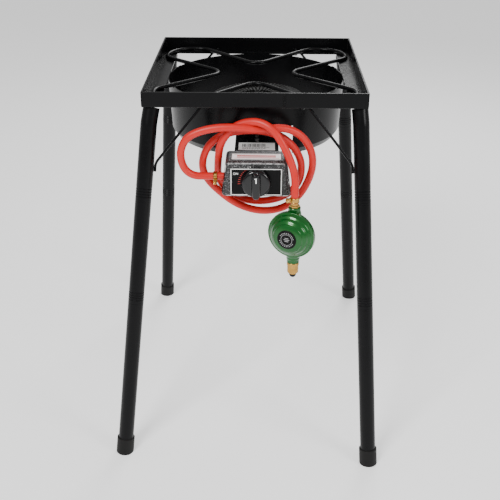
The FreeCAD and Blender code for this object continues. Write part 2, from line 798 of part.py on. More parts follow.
def add_knob(x, back, z):
    """Round skirt with a raised grip bar across its face, bored for the spindle."""
    body = new_body("control_knob")
    points = [
        ("0", "0"),
        ("knob_radius", "0"),
        ("knob_radius - 1.5", "knob_skirt"),
        ("knob_radius - 4", "knob_skirt + 2"),
        ("0", "knob_skirt + 2"),
    ]
    revolve(body, outline(new_sketch(body, "XZ_Plane"), points))
    grip = outline(new_sketch(body, "XY_Plane"), rectangle("knob_grip_wide", "2 * knob_radius - 12"))
    pad(body, grip, "knob_deep")
    deep = size("knob_deep")

    def grip_edge(edge, ends):
        on_top = all(abs(end.z - deep) < 0.01 for end in ends)
        corner = abs(ends[0].z - ends[-1].z) > 3 and max(end.z for end in ends) > deep - 0.01
        return on_top or corner

    fillet_edges(body, "3", grip_edge)
    bore = circle(new_sketch(body, "XY_Plane"), ("0", "0"), "spindle_radius + 0.1")
    pocket(body, bore, "knob_bore_deep + 0.2", reverse=True)
    recess = circle(new_sketch(body, "XY_Plane"), ("0", "0"), "knob_radius - 4")
    collar = circle(recess, ("0", "0"), "7")
    pocket(body, collar, "knob_recess", reverse=True)
    put(body, (x, back, z), FORWARD)


# ---------------------------------------------------------------- hose
# centreline of the hose, from the tail on the left of the control box to the regulator
HOSE_ROUTE = [
    (-50, -206, 568),
    (-84, -206, 568),
    (-108, -210, 569),
    (-124, -213, 580),
    (-132, -215, 600),
    (-132, -216, 621),
    (-124, -217, 640),
    (-110, -217, 652),
    (-84, -217, 661),
    (-54, -217, 665),
    (-25, -217, 664),
    (-3, -213, 660),
    (18, -208, 658),
    (42, -202, 660),
    (66, -196, 654),
    (87, -191, 639),
    (103, -187, 613),
    (108, -182, 582),
    (101, -176, 548),
    (85, -172, 515),
    (60, -169, 490),
    (28, -167, 480),
    (-4, -166, 482),
    (-37, -167, 496),
    (-64, -169, 519),
    (-85, -174, 543),
    (-95, -180, 566),
    (-96, -184, 587),
    (-90, -186, 608),
    (-79, -186, 625),
    (-61, -186, 638),
    (-38, -185, 646),
    (-8, -184, 649),
    (22, -184, 647),
    (53, -184, 635),
    (74, -182, 613),
    (86, -178, 587),
    (87, -172, 559),
    (80, -165, 533),
    (62, -157, 510),
    (38, -151, 497),
    (10, -149, 492),
    (-18, -149, 495),
    (-42, -151, 507),
    (-60, -156, 527),
    (-69, -164, 551),
    (-68, -175, 575),
    (-66, -188, 600),
    (-62, -198, 625),
    (-51, -203, 646),
    (-34, -204, 663),
    (-14, -208, 672),
    (8, -216, 675),
    (28, -225, 668),
    (43, -231, 652),
    (56, -235, 629),
    (67, -239, 604),
    (73, -243, 580),
    (73, -250, 557),
    (73, -250, 536),
]


def rounded_route(points):
    """Straight runs joined by tangent arcs, each arc as large as its two runs allow."""
    places = [Vector(*point) for point in points]
    edges = []
    radii = []
    start = places[0]
    for index in range(1, len(places) - 1):
        before, corner, after = places[index - 1: index + 2]
        back = (before - corner).normalize()
        on = (after - corner).normalize()
        turn = math.pi - back.getAngle(on)
        trim = 0.45 * min((before - corner).Length, (after - corner).Length)
        radius = trim / math.tan(turn / 2)
        radii.append(radius)
        first, last = corner + back * trim, corner + on * trim
        to_centre = (back + on).normalize()
        centre = corner + to_centre * math.hypot(radius, trim)
        middle = centre - to_centre * radius
        edges.append(Part.LineSegment(start, first).toShape())
        edges.append(Part.Arc(first, middle, last).toShape())
        start = last
    edges.append(Part.LineSegment(start, places[-1]).toShape())
    return Part.Wire(edges), radii


def add_hose():
    """Red gas hose, a plain tube along its route from inside the box, and the two clamps on it."""
    path, radii = rounded_route(HOSE_ROUTE)
    radius = size("hose_diameter") / 2
    direction = Vector(*HOSE_ROUTE[1]) - Vector(*HOSE_ROUTE[0])
    section = Part.Wire(Part.makeCircle(radius, Vector(*HOSE_ROUTE[0]), direction))
    tube = path.makePipeShell([section], True, False)
    if not tube.Solids:
        tube = Part.Solid(Part.Shell(tube.Faces))
    shape_node("hose", tube)
    print("hose length %.0f, bend radii %.0f to %.0f" % (path.Length, min(radii), max(radii)))
    print("hose bends:", " ".join("%.0f" % bend for bend in radii))
    swept = math.pi * radius ** 2 * path.Length
    print("hose length %.1f, volume over section times length %.4f" % (path.Length, tube.Volume / swept))
    start = Vector(*HOSE_ROUTE[0])
    put(clamp_body("inlet_hose_clamp"), start + Vector(-size("clamp_setback"), 0, 0), LEFTWARD)
    end = Vector(*HOSE_ROUTE[-1])
    lower = Rotation(Vector(0, 0, 1), 140)
    put(clamp_body("regulator_hose_clamp"), end + Vector(0, 0, 2), lower)


def clamp_body(label):
    """Brass band round the hose, closed by two ears with a screw through them."""
    body = new_body(label)
    band = new_sketch(body, "XY_Plane")
    circle(band, ("0", "0"), "hose_diameter / 2 + 0.1 + clamp_thick")
    pad(body, band, "clamp_wide")
    ear = new_sketch(body, "XY_Plane")
    reach = "hose_diameter / 2 + 5"
    outline(ear, rectangle("7", "7", (reach, "0")))
    pad(body, ear, "clamp_wide")
    pocket(body, circle(new_sketch(body, "XY_Plane"), ("0", "0"), "hose_diameter / 2 + 0.1"))
    slit = outline(new_sketch(body, "XY_Plane"), rectangle("10", "1.6", ("hose_diameter / 2 + 5.2", "0")))
    pocket(body, slit)
    screw = new_sketch(body, "XZ_Plane")
    circle(screw, (reach + " + 0.8", "clamp_wide / 2"), "1.7")
    pad(body, screw, "13", middle=True)
    return body


# ---------------------------------------------------------------- regulator
def dome_points(front, flange, radius):
    """Half section of one regulator shell: a flat flange, a ring step and a domed middle."""
    return [
        ("0", "0"),
        (radius, "0"),
        (radius, flange),
        (radius + " - 4", flange + " + 1.5"),
        (radius + " * 0.8", flange + " + (%s) * 0.3" % front),
        (radius + " * 0.62", flange + " + (%s) * 0.62" % front),
        ("badge_radius + 1.5", flange + " + (%s) * 0.72" % front),
        ("0", flange + " + (%s) * 0.75" % front),
    ]


def add_regulator():
    """Two pressed shells with a diaphragm between, brass outlet tail, inlet stem, nut and nose."""
    turn = Rotation(Vector(0, 0, 1), -size("regulator_turn"))
    gap, setback = size("shell_gap") / 2, size("neck_setback")
    hose_end = Vector(HOSE_ROUTE[-1][0], HOSE_ROUTE[-1][1], size("regulator_height"))
    centre = hose_end - turn.multVec(Vector(0, setback + gap, 0))
    z = centre.z
    half = "regulator_flange / 2"
    cover = turned("regulator_cover", dome_points("regulator_front", half, "regulator_radius"))
    put(cover, centre - turn.multVec(Vector(0, gap, 0)), turn * FORWARD)
    body = turned("regulator_body", dome_points("regulator_rear", half, "regulator_radius"))
    # necks for the outlet above and the inlet below, square to the shell's axis
    for name, reach in (("neck_top", -1), ("neck_low", 1)):
        neck = new_sketch(body, "XZ_Plane")
        circle(neck, ("0", "neck_setback"), "stem_radius")
        pad(body, neck, name, reverse=reach > 0)
    rearward = Rotation(Vector(1, 0, 0), -90)
    put(body, centre + turn.multVec(Vector(0, gap, 0)), turn * rearward)
    diaphragm = Part.makeCylinder(size("regulator_radius") - 0.5, 0.8)
    shape_node("regulator_diaphragm", diaphragm, centre + turn.multVec(Vector(0, 0.4, 0)), turn * FORWARD)
    badge_profile = [("0", "0"), ("badge_radius", "0"), ("badge_radius - 0.5", "1"), ("0", "1")]
    badge = turned("regulator_badge", badge_profile)
    apex = number("regulator_flange / 2 + regulator_front * 0.75") + gap
    put(badge, centre - turn.multVec(Vector(0, apex, 0)), turn * FORWARD)
    # the stems stand on the axis of the necks
    axis = centre + turn.multVec(Vector(0, setback + gap, 0))
    tail_top = HOSE_ROUTE[-1][2]
    tail_low = z + size("neck_top")
    tail = turned("regulator_outlet_tail", [
        ("0", "0"),
        ("8.5", "0"),
        ("8.5", "5"),
        ("hose_diameter / 2", "5"),
        ("hose_diameter / 2", str(tail_top - tail_low)),
        ("0", str(tail_top - tail_low)),
    ])
    put(tail, (axis.x, axis.y, tail_low))
    stem_top = z - size("neck_low")
    nut_top = stem_top - size("seam_gap")
    stem = turned("inlet_stem", [
        ("0", "0"),
        ("5", "0"),
        ("5", "-nut_tall + 2"),
        ("nut_recess - 0.3", "-nut_tall + 1"),
        ("nut_recess - 0.3", "-nut_tall - 2"),
        ("0", "-nut_tall - 2"),
    ])
    put(stem, (axis.x, axis.y, stem_top))
    nut = turned("swivel_nut", [
        ("5 + running_fit", "0"),
        ("nut_radius + 0.6", "0"),
        ("nut_radius + 0.6", "-5"),
        ("nut_radius", "-6"),
        ("nut_radius - 1", "-nut_tall"),
        ("nut_recess", "-nut_tall"),
        ("nut_recess", "-nut_tall + 3.5"),
        ("5 + running_fit", "-nut_tall + 3.5"),
    ])
    put(nut, (axis.x, axis.y, nut_top))
    nose = turned("inlet_nose", [
        ("0", "0"),
        ("6.4", "0"),
        ("6.4", "-4"),
        ("5", "-7"),
        ("0", "-7"),
    ])
    put(nose, (axis.x, axis.y, stem_top - size("nut_tall") - 2))


# ---------------------------------------------------------------- legs
def leg_frame(corner, x_side, y_side):
    """Knee point, and the rotation that lays a leg's own Z along its tube with +X outward."""
    half = size("frame_side") / 2
    knee_x, knee_y = half - size("knee_inset_x"), half - size("knee_inset_y")
    knee = Vector(x_side * knee_x, y_side * knee_y, size("knee_height"))
    azimuth = size("azimuth_" + corner)
    tilt = math.degrees(math.atan2(size("splay_" + corner), size("knee_height")))
    headings = {(-1, -1): 180 + azimuth, (1, -1): -azimuth, (-1, 1): 180 - azimuth, (1, 1): azimuth}
    heading = headings[(x_side, y_side)]
    return knee, Rotation(Vector(0, 0, 1), heading) * Rotation(Vector(0, 1, 0), -tilt)


def along(height, corner):
    """Distance down a leg's tube from the knee to a height above the floor."""
    return "(knee_height - %s) * sqrt(1 + (splay_%s / knee_height)^2)" % (height, corner)


def ringed(radius, low):
    """Outline points, upward, of four rolled rings above a seam at height low."""
    points = []
    for ring in range(4):
        middle = "%s + ring_first + %d * ring_pitch" % (low, ring)
        points.append((radius, middle + " - 1.2"))
        points.append((radius + " - ring_deep", middle + " - 0.4"))
        points.append((radius + " - ring_deep", middle + " + 0.4"))
        points.append((radius, middle + " + 1.2"))
    return points


def tube_points(top, low, spigot):
    """Half section of a leg section: tube with rolled rings at its lower end and a spigot on top."""
    outer, inner = "tube_diameter / 2", "tube_diameter / 2 - tube_wall"
    points = [(inner, low), (outer, low)]
    points += ringed(outer, low)
    points += [(outer, top)]
    if spigot:
        fit = inner + " - spigot_fit"
        points += [(fit, top), (fit, top + " + spigot_long"), (fit + " - tube_wall", top + " + spigot_long")]
        points += [(fit + " - tube_wall", top + " - 2"), (inner, top + " - 5")]
    else:
        points += [(inner, top)]
    return points


def add_leg(corner, x_side, y_side):
    knee, tilted = leg_frame(corner, x_side, y_side)
    upper_end = "-(%s)" % along("upper_seam", corner)
    lower_end = "-(%s)" % along("lower_seam", corner)
    foot = "-(%s)" % along("0", corner)
    outer, inner = "tube_diameter / 2", "tube_diameter / 2 - tube_wall"
    # upper section: a straight tube below the knee and a leaning stub above it
    upper = new_body("upper_leg_" + corner)
    revolve(upper, outline(new_sketch(upper, "XZ_Plane"), tube_points("0", upper_end, "")))
    path = new_sketch(upper, "XZ_Plane")
    outline(path, [("0", "0"), ("0", "stub_long * 0.3"), ("-stub_shift", "stub_long")], closed=False)
    round_corner(path, 0, "knee_round")
    section = new_sketch(upper, "XY_Plane")
    circle(section, ("0", "0"), outer)
    circle(section, ("0", "0"), inner)
    stub = upper.newObject("PartDesign::AdditivePipe", upper.Name + "_stub")
    stub.Profile = section
    stub.Spine = path
    upper.Tip = stub
    put(upper, knee, tilted)
    middle = new_body("middle_leg_" + corner)
    points = tube_points(upper_end + " - seam_gap", lower_end, "spigot")
    revolve(middle, outline(new_sketch(middle, "XZ_Plane"), points))
    put(middle, knee, tilted)
    lower = new_body("lower_leg_" + corner)
    fit = inner + " - spigot_fit"
    top = lower_end + " - seam_gap"
    end = foot + " + cap_sole"
    points = [(inner, end), (outer, end), (outer, top), (fit, top), (fit, top + " + spigot_long"),
              (fit + " - tube_wall", top + " + spigot_long"), (fit + " - tube_wall", top + " - 2"),
              (inner, top + " - 5")]
    revolve(lower, outline(new_sketch(lower, "XZ_Plane"), points))
    put(lower, knee, tilted)
    # rubber cap, cut flat where it stands on the floor
    cap = new_body("foot_cap_" + corner)
    rim = "cap_diameter / 2"
    points = [("0", foot + " - 6"), (rim + " - 4", foot + " - 6")]
    points += [(rim, foot + " - 1"), (rim, foot + " + cap_tall"),
              (outer, foot + " + cap_tall + 1.5"), (outer, end), ("0", end)]
    revolve(cap, outline(new_sketch(cap, "XZ_Plane"), points))
    floor = new_sketch(cap, "XZ_Plane")
    slope = "splay_%s / knee_height" % corner
    outline(floor, [("-30", foot + " - 30"), ("30", foot + " - 30"), ("30", "%s - 30 * %s" % (foot, slope)),
                    ("-30", "%s + 30 * %s" % (foot, slope))])
    pocket(cap, floor)
    put(cap, knee, tilted)


CORNERS = {
    "front_left": (-1, -1),
    "front_right": (1, -1),
    "back_left": (-1, 1),
    "back_right": (1, 1),
}


def add_legs():
    for corner, (x_side, y_side) in CORNERS.items():
        add_leg(corner, x_side, y_side)


def add_stay(corner, x_side, y_side):
    """Round bar from a tab bolted under the rail to a foot that lies along the leg's tube."""
    knee, tilted = leg_frame(corner, x_side, y_side)
    down = tilted.multVec(Vector(0, 0, -1))
    axis_point = knee + down * ((size("knee_height") - size("stay_height")) / -down.z)
    low_face = size("frame_top") - size("rim_tall")
    flange_centre = (size("frame_side") - size("flange_wide")) / 2
    bolt = Vector(x_side * number(STAY_REACH), y_side * flange_centre, low_face)
    bar = size("stay_diameter") / 2
    start = bolt + Vector(x_side * 12, 0, -bar - 0.1)
    toward = start - axis_point
    toward = (toward - down * toward.dot(down)).normalize()
    bend = axis_point + toward * (size("tube_diameter") / 2 + bar + 0.1)
    foot = bend + down * size("stay_foot")
    path, _ = rounded_route([start, bend, foot])
    section = Part.Wire(Part.makeCircle(bar, start, bend - start))
    rod = path.makePipeShell([section], True, False)
    wide, thick = size("stay_tab_wide"), size("stay_tab_thick")
    tab = Part.makeBox(20, wide, thick, Vector(-6, -wide / 2, -thick))
    tab = tab.cut(Part.makeCylinder(size("stay_bolt_radius") + 0.2, 2 * thick, Vector(0, 0, -2 * thick)))
    if x_side < 0:
        tab = tab.mirror(Vector(0, 0, 0), Vector(1, 0, 0))
    tab.translate(bolt)
    shape_node("stay_" + corner, rod.fuse(tab).removeSplitter())
    return bolt


def add_stays():
    """Four stays and the bolts, each with its nut on the rail's flange."""
    bolts = [add_stay(corner, *sides) for corner, sides in CORNERS.items()]
    length = "stay_tab_thick + angle_thick + 6"
    bolt = turned("stay_bolt", bolt_outline("stay_bolt_radius", length, 3.5))
    doc.recompute()
    nut = Part.makeCylinder(4.25, 3.5).cut(Part.makeCylinder(size("stay_bolt_radius"), 3.5))
    solids = []
    for place in bolts:
        low = place - Vector(0, 0, size("stay_tab_thick"))
        shank = bolt.Shape.copy()
        shank.Placement = Placement(low, Rotation())
        collar = nut.copy()
        collar.Placement = Placement(place + Vector(0, 0, size("angle_thick")), Rotation())
        solids += [shank, collar]
    nodes.remove(bolt)
    shape_node("stay_bolts", Part.makeCompound(solids))


# ---------------------------------------------------------------- build, check and write
def build():
    steps = [add_frame, add_pot_rest, add_wind_guard, add_burner, add_burner_supports, add_air_shutter,
             add_bracket, add_control_box, add_valve, add_hose, add_regulator, add_legs, add_stays]
    for step in steps:
        step()
        doc.recompute()
    for thing in doc.Objects:
        if "Invalid" in thing.State or "Error" in thing.State:
            raise RuntimeError("%s did not build: %s" % (thing.Label, thing.State))
    for node in nodes:
        if node.Shape.isNull() or not node.Shape.isValid() or not node.Shape.Solids:
            raise RuntimeError("%s has no valid solid" % node.Label)


def write():
    os.makedirs("parts", exist_ok=True)
    for node in nodes:
        node.Shape.exportStep(os.path.join("parts", node.Label + ".step"))
    print("wrote %d nodes" % len(nodes))


build()
write()
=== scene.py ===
"""Looks for the outdoor burner stand: frame, pot rest, burner, control box, hose, regulator and legs."""

import json
import math
import random

import bmesh
import bpy
from mathutils import Matrix, Vector


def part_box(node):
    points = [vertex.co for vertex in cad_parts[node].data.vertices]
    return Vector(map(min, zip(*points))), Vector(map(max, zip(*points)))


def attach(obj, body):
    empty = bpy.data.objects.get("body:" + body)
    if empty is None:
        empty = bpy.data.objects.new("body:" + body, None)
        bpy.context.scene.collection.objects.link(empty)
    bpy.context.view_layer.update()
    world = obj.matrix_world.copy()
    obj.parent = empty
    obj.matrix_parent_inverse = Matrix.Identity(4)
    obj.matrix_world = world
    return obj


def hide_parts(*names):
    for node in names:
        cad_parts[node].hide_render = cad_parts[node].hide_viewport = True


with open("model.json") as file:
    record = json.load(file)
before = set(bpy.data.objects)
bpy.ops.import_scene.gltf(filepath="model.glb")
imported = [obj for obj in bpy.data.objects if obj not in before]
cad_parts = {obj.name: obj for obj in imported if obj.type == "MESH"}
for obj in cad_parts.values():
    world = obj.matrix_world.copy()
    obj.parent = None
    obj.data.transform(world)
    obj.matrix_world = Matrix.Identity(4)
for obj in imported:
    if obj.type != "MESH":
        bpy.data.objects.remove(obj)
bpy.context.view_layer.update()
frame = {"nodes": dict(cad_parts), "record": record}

MM = 0.001
FRONT = Vector((0, -1, 0))
UP = Vector((0, 0, 1))
draw = random.Random(7)


# ---------------------------------------------------------------- node materials
class Field:
    """An output socket that can be used as a number in an expression."""

    def __init__(self, finish, socket):
        self.finish = finish
        self.socket = socket

    def math(self, operation, *others):
        inputs = {index: item for index, item in enumerate((self,) + others)}
        return self.finish.node("ShaderNodeMath", {"operation": operation}, inputs)

    def flipped(self, operation, other):
        return self.finish.node("ShaderNodeMath", {"operation": operation}, {0: other, 1: self})

    def __add__(self, other):
        return self.math("ADD", other)

    def __radd__(self, other):
        return self.flipped("ADD", other)

    def __sub__(self, other):
        return self.math("SUBTRACT", other)

    def __rsub__(self, other):
        return self.flipped("SUBTRACT", other)

    def __mul__(self, other):
        return self.math("MULTIPLY", other)

    def __rmul__(self, other):
        return self.flipped("MULTIPLY", other)

    def above(self, edge, soft):
        """0 below an edge and 1 above it, over a soft width."""
        return self.finish.node(
            "ShaderNodeMapRange", {"interpolation_type": "SMOOTHSTEP"},
            {"Value": self, "From Min": edge - soft / 2, "From Max": edge + soft / 2})


class Finish:
    """A node material under construction; constants are set on the shader's own sockets."""

    def __init__(self, name, **constants):
        self.material = bpy.data.materials.new(name)
        self.material.use_nodes = True
        self.tree = self.material.node_tree
        self.shader = self.tree.nodes["Principled BSDF"]
        for socket, value in constants.items():
            self.set(socket.replace("_", " ").title().replace("Ior", "IOR"), value)

    def set(self, socket, value):
        self.plug(self.shader.inputs[socket], value)

    def plug(self, socket, value):
        if isinstance(value, Field):
            self.tree.links.new(value.socket, socket)
        elif isinstance(value, (tuple, list)) and socket.type == "RGBA" and len(value) == 3:
            socket.default_value = (*value, 1)
        else:
            socket.default_value = value

    def node(self, kind, settings=None, inputs=None, output=0):
        """Any node: its settings first, then the values or links of its sockets."""
        node = self.tree.nodes.new(kind)
        for name, value in (settings or {}).items():
            setattr(node, name, value)
        for name, value in (inputs or {}).items():
            self.plug(node.inputs[name], value)
        return Field(self, node.outputs[output])

    def place(self):
        """The piece's own coordinates, in metres."""
        return self.node("ShaderNodeTexCoord", output="Object")

    def noise(self, scale, detail=2, rough=0.5, where=None):
        return self.node("ShaderNodeTexNoise", None, {
            "Vector": where or self.place(), "Scale": scale, "Detail": detail, "Roughness": rough})

    def cells(self, scale, feature="F1", where=None):
        return self.node("ShaderNodeTexVoronoi", {"feature": feature}, {
            "Vector": where or self.place(), "Scale": scale}, "Distance")

    def mix(self, factor, first, second):
        """A colour between two colours."""
        return self.node("ShaderNodeMix", {"data_type": "RGBA"}, {0: factor, 6: first, 7: second}, 2)

    def bump(self, height, distance, strength=1.0):
        self.set("Normal", self.node("ShaderNodeBump", None, {
            "Strength": strength, "Distance": distance, "Height": height}))


def stove_paint():
    """Black semi-gloss paint with a fine orange peel and a little dust."""
    finish = Finish("stove_paint", specular_ior_level=0.14)
    peel = finish.noise(900, 3)
    cloud = finish.noise(14, 5, 0.6)
    dust = finish.noise(160, 4, 0.7).above(0.62, 0.2) * 0.5
    tone = cloud * 0.6 + dust * 0.5
    finish.set("Base Color", finish.mix(tone, (0.001, 0.001, 0.0012), (0.005, 0.005, 0.0058)))
    finish.set("Roughness", 0.2 + cloud * 0.15 + dust * 0.12)
    finish.bump(peel, 0.00012, 0.5)
    return finish.material


def cast_iron():
    """Sand-cast iron under thin black paint."""
    finish = Finish("cast_iron", specular_ior_level=0.2)
    grain = finish.noise(700, 6, 0.7)
    lumps = finish.noise(120, 3)
    finish.set("Base Color", finish.mix(lumps, (0.003, 0.003, 0.0032), (0.014, 0.0135, 0.013)))
    finish.set("Roughness", 0.5 + grain * 0.3)
    finish.bump(grain * 0.7 + lumps * 0.6, 0.0006, 0.8)
    return finish.material


def hammered_paint():
    """Hammered paint: fine silver ridges round dark pits."""
    finish = Finish("hammered_paint", coat_weight=0.3, coat_roughness=0.15)
    where = finish.place()
    warp = finish.noise(320, 3, 0.6, where)
    pits = finish.cells(560, "SMOOTH_F1", where)
    fine = finish.noise(1500, 4, 0.7, where)
    ridge = (pits * 0.9 + warp * 0.8 + fine * 0.4).above(1.16, 0.3)
    finish.set("Base Color", finish.mix(ridge, (0.003, 0.003, 0.0035), (0.2, 0.2, 0.205)))
    finish.set("Metallic", ridge * 0.8)
    finish.set("Roughness", 0.4 - ridge * 0.1 + fine * 0.12)
    finish.bump(pits + warp * 0.5, 0.0009, 0.7)
    return finish.material


def rim_highlight_paint():
    """The same paint with a painted highlight: silver patches along a rolled edge stand in for the light
    caught there.
    """
    finish = Finish("rim_highlight_paint", coat_weight=0.3, coat_roughness=0.12)
    where = finish.place()
    # painted highlight: where these patches show, the colour turns silver and metallic
    highlight_patches = finish.noise(210, 4, 0.65, where).above(0.47, 0.22)
    fine = finish.noise(1300, 3, 0.6, where)
    finish.set("Base Color", finish.mix(highlight_patches, (0.03, 0.03, 0.032), (0.55, 0.55, 0.55)))
    finish.set("Metallic", highlight_patches * 0.85)
    finish.set("Roughness", 0.22 + fine * 0.16)
    finish.bump(fine, 0.0003, 0.6)
    return finish.material


def knob_plastic():
    finish = Finish("knob_plastic", specular_ior_level=0.42)
    fine = finish.noise(1500, 3)
    cloud = finish.noise(40, 4)
    finish.set("Base Color", finish.mix(cloud, (0.0015, 0.0015, 0.0018), (0.005, 0.005, 0.006)))
    finish.set("Roughness", 0.07 + cloud * 0.08 + fine * 0.04)
    finish.bump(fine, 0.00006, 0.5)
    return finish.material


def dial_black():
    finish = Finish("dial_black", specular_ior_level=0.12)
    fine = finish.noise(1200, 3)
    finish.set("Base Color", finish.mix(fine, (0.0012, 0.0012, 0.0014), (0.004, 0.004, 0.0045)))
    finish.set("Roughness", 0.28 + fine * 0.14)
    return finish.material


def print_ink(name, colour, dark):
    finish = Finish(name)
    fine = finish.noise(900, 3)
    finish.set("Base Color", finish.mix(fine, dark, colour))
    finish.set("Roughness", 0.4 + fine * 0.2)
    return finish.material


def brass():
    """Turned yellow brass with fine tool lines and a light tarnish."""
    finish = Finish("brass", metallic=1.0)
    tarnish = finish.noise(90, 5, 0.65)
    lines = finish.noise(2200, 2)
    finish.set("Base Color", finish.mix(tarnish, (0.62, 0.36, 0.09), (0.34, 0.18, 0.045)))
    finish.set("Roughness", 0.16 + tarnish * 0.18 + lines * 0.06)
    finish.bump(lines, 0.00004, 0.5)
    return finish.material


def zinc():
    finish = Finish("zinc", metallic=1.0)
    cloud = finish.noise(220, 4)
    finish.set("Base Color", finish.mix(cloud, (0.5, 0.5, 0.5), (0.72, 0.72, 0.7)))
    finish.set("Roughness", 0.25 + cloud * 0.2)
    return finish.material


def red_rubber():
    """Smooth red gas hose with a faint woven ply showing through and slightly chalky patches."""
    finish = Finish("red_rubber", specular_ior_level=0.35)
    cloud = finish.noise(55, 5, 0.6)
    fine = finish.noise(1300, 4, 0.6)
    finish.set("Base Color", finish.mix(cloud, (0.52, 0.008, 0.006), (0.66, 0.02, 0.014)))
    finish.set("Roughness", 0.28 + cloud * 0.14 + fine * 0.08)
    finish.bump(fine * 0.4 + cloud, 0.0001, 0.6)
    return finish.material


def black_rubber():
    finish = Finish("black_rubber", specular_ior_level=0.18)
    cloud = finish.noise(70, 5)
    fine = finish.noise(1000, 4)
    finish.set("Base Color", finish.mix(cloud, (0.003, 0.003, 0.003), (0.011, 0.0105, 0.01)))
    finish.set("Roughness", 0.5 + cloud * 0.2)
    finish.bump(fine, 0.0001, 0.5)
    return finish.material


def green_enamel():
    """Metallic green lacquer over pressed zinc, deep and glossy."""
    finish = Finish("green_enamel", metallic=0.3, coat_weight=0.5, coat_roughness=0.03,
                    specular_ior_level=0.25)
    flake = finish.cells(2600)
    cloud = finish.noise(35, 4)
    finish.set("Base Color", finish.mix(cloud * 0.6 + flake * 0.3, (0.0, 0.05, 0.004), (0.001, 0.13, 0.012)))
    finish.set("Roughness", 0.2 + flake * 0.12)
    finish.bump(cloud, 0.0002, 0.3)
    return finish.material


# ---------------------------------------------------------------- mesh tools
# a shape is a pair of lists, vertices in metres and faces; several shapes make one piece
def piece(name, shapes, material, slot, body="root", smooth=35, replaces=()):
    """One mesh object from shapes, riding on a body, sharp where faces meet above an angle."""
    vertices, faces = [], []
    for points, sides in shapes:
        faces += [tuple(index + len(vertices) for index in side) for side in sides]
        vertices += [tuple(point) for point in points]
    mesh = bpy.data.meshes.new(name)
    mesh.from_pydata(vertices, [], faces)
    mesh.validate()
    fix = bmesh.new()
    fix.from_mesh(mesh)
    bmesh.ops.recalc_face_normals(fix, faces=fix.faces)
    fix.to_mesh(mesh)
    fix.free()
    mesh.materials.append(material)
    mesh.shade_smooth()
    mesh.set_sharp_from_angle(angle=math.radians(smooth))
    made = bpy.data.objects.new(name, mesh)
    bpy.context.scene.collection.objects.link(made)
    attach(made, body)
    if replaces:
        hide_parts(*replaces)
    return made


def basis(axis, start=UP):
    """Two directions square to an axis and each other."""
    helper = start if abs(axis.dot(start)) < 0.9 else Vector((1, 0, 0))
    side = (helper - axis * axis.dot(helper)).normalized()
    return side, axis.cross(side)


def skin(rings, capped=True, closed=False):
    """A shape over rings that all have the same number of points."""
    count = len(rings[0])
    rows = len(rings)
    faces = []
    for row in range(rows if closed else rows - 1):
        low, high = row * count, (row + 1) % rows * count
        for index in range(count):
            after = (index + 1) % count
            faces.append((low + index, low + after, high + after, high + index))
    if capped and not closed:
        faces.append(tuple(range(count)))
        faces.append(tuple(range((rows - 1) * count, rows * count)))
    return [point for ring in rings for point in ring], faces


def turned(profile, origin, axis, segments=72, ripple=None, start=UP, closed=False):
    """A turned shape from (radius, distance along the axis) in millimetres; ripple scales the radius."""
    side, other = basis(axis, start)
    rings = []
    for radius, distance in profile:
        ring = []
        for index in range(segments):
            angle = 2 * math.pi * index / segments
            reach = radius * (ripple(angle, radius, distance) if ripple else 1) * MM
            outward = side * math.cos(angle) + other * math.sin(angle)
            ring.append(origin + axis * distance * MM + outward * reach)
        rings.append(ring)
    return skin(rings, closed=closed)


def curved(profile, steps=5):
    """A smooth outline through points; a point given as a list stays a sharp corner."""
    result = []
    for index in range(len(profile) - 1):
        first, second = profile[index], profile[index + 1]
        before = profile[index - 1] if index and not isinstance(first, list) else first
        after = profile[index + 2] if index + 2 < len(profile) and not isinstance(second, list) else second
        for step in range(steps):
            share = step / steps
            point = []
            for a, b, c, d in zip(before, first, second, after):
                point.append(0.5 * (2 * b + (c - a) * share + (2 * a - 5 * b + 4 * c - d) * share ** 2
                                    + (3 * b - a - 3 * c + d) * share ** 3))
            result.append(tuple(point))
    result.append(tuple(profile[-1]))
    return result


def block(middle, size, bevel=0.4, turn=Matrix.Identity(3)):
    """A rounded block; middle in metres, size and bevel in millimetres."""
    shape = bmesh.new()
    bmesh.ops.create_cube(shape, size=1)
    bmesh.ops.scale(shape, vec=Vector(size) * MM, verts=shape.verts)
    bmesh.ops.bevel(shape, geom=shape.edges[:], offset=bevel * MM, segments=2, profile=0.5, affect="EDGES")
    bmesh.ops.transform(shape, matrix=Matrix.Translation(middle) @ turn.to_4x4(), verts=shape.verts)
    shape.verts.index_update()
    points = [vertex.co.copy() for vertex in shape.verts]
    faces = [tuple(corner.index for corner in face.verts) for face in shape.faces]
    shape.free()
    return points, faces


def flat(middle, across, up, wide, tall, thick=0.12):
    """A printed patch that stands a hair off a surface; sizes in millimetres."""
    out = across.cross(up)
    turn = Matrix((across, up, out)).transposed()
    return block(middle, (wide, tall, thick), thick / 3, turn)


def oval(wide, tall, power=2.6, count=64):
    """Points of a rounded rectangle about zero, in millimetres."""
    result = []
    for index in range(count):
        angle = 2 * math.pi * index / count
        cosine, sine = math.cos(angle), math.sin(angle)
        x = math.copysign(abs(cosine) ** (2 / power), cosine) * wide / 2
        y = math.copysign(abs(sine) ** (2 / power), sine) * tall / 2
        result.append((x, y))
    return result


def stacked(layers, origin, across, up, power=2.6, count=64):
    """A moulded shape from layers of (distance out, width, height) in millimetres."""
    out = across.cross(up)
    rings = []
    for distance, wide, tall in layers:
        outline = oval(wide, tall, power, count)
        rings.append([origin + (across * x + up * y + out * distance) * MM for x, y in outline])
    return skin(rings)


